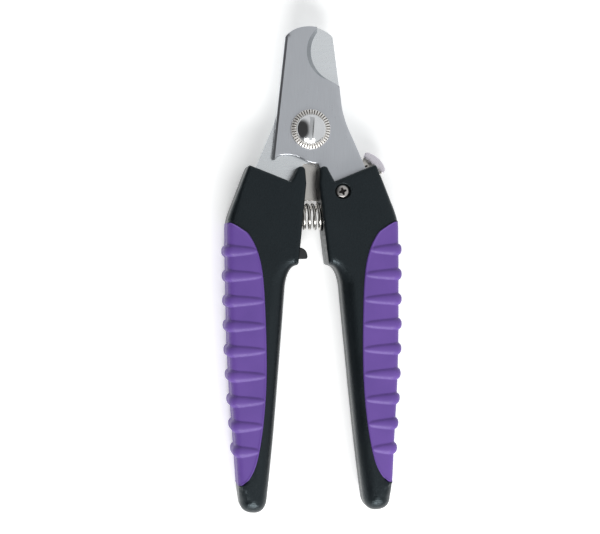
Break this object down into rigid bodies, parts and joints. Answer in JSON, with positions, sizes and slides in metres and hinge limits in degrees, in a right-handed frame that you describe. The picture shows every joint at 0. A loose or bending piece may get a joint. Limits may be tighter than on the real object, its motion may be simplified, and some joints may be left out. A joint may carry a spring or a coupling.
{
  "type": "pet nail trimmer",
  "caption": "Plier-style claw trimmer with crossed scissor blades, a spring-opened pivot, a swinging lock lever and ribbed wrap-around grips.",
  "frame": {"origin": "middle of the bounding box at its lowest plane, which is the crests of the grips' ribs on the back", "axes": "+X to the right handle, +Y towards the blade tips, +Z out of the front face; the trimmer lies on its back"},
  "size_m": [0.0608, 0.1652, 0.0174],
  "materials": {
    "brushed_blade": "lengthwise brushed stainless steel",
    "black_nylon": "fine matte texture",
    "purple_grip": "satin soft-touch rubber",
    "polished_steel": "polished",
    "serrated_steel": "plated, finely serrated",
    "screw_steel": "zinc plated",
    "lever_steel": "satin stamped plate",
    "spring_wire": "bright drawn wire",
    "bumper_rubber": "matte"
  },
  "bodies": {
    "right_side": {"front_blade": "brushed_blade", "right_front_shell": "black_nylon", "right_rear_shell": "black_nylon", "right_grip": "purple_grip", "pivot_bolt": "polished_steel", "serrated_ring": "serrated_steel", "pivot_washer": "polished_steel", "pivot_nut": "polished_steel", "right_shell_screw": "screw_steel", "lock_lever_bush": "screw_steel", "return_spring": "spring_wire"},
    "left_side": {"rear_blade": "brushed_blade", "left_front_shell": "black_nylon", "left_rear_shell": "black_nylon", "left_grip": "purple_grip", "left_shell_screw": "screw_steel", "lock_catch_pin": "screw_steel", "stop_bumper": "bumper_rubber"},
    "lock": {"lock_lever": "lever_steel"}
  },
  "joints": [
    {"name": "main_pivot", "type": "hinge", "parent": "right_side", "child": "left_side", "pos_m": [0, 0.0474, 0.0087], "axis": [0, 0, -1], "range_deg": [-8, 20], "stiffness_Nm_per_rad": 0.8, "springref_deg": 28.65, "deforming": ["return_spring"]},
    {"name": "lock_pivot", "type": "hinge", "parent": "right_side", "child": "lock", "pos_m": [0.0102, 0.026, 0.00525], "axis": [0, 0, 1], "range_deg": [-20, 8]}
  ]
}
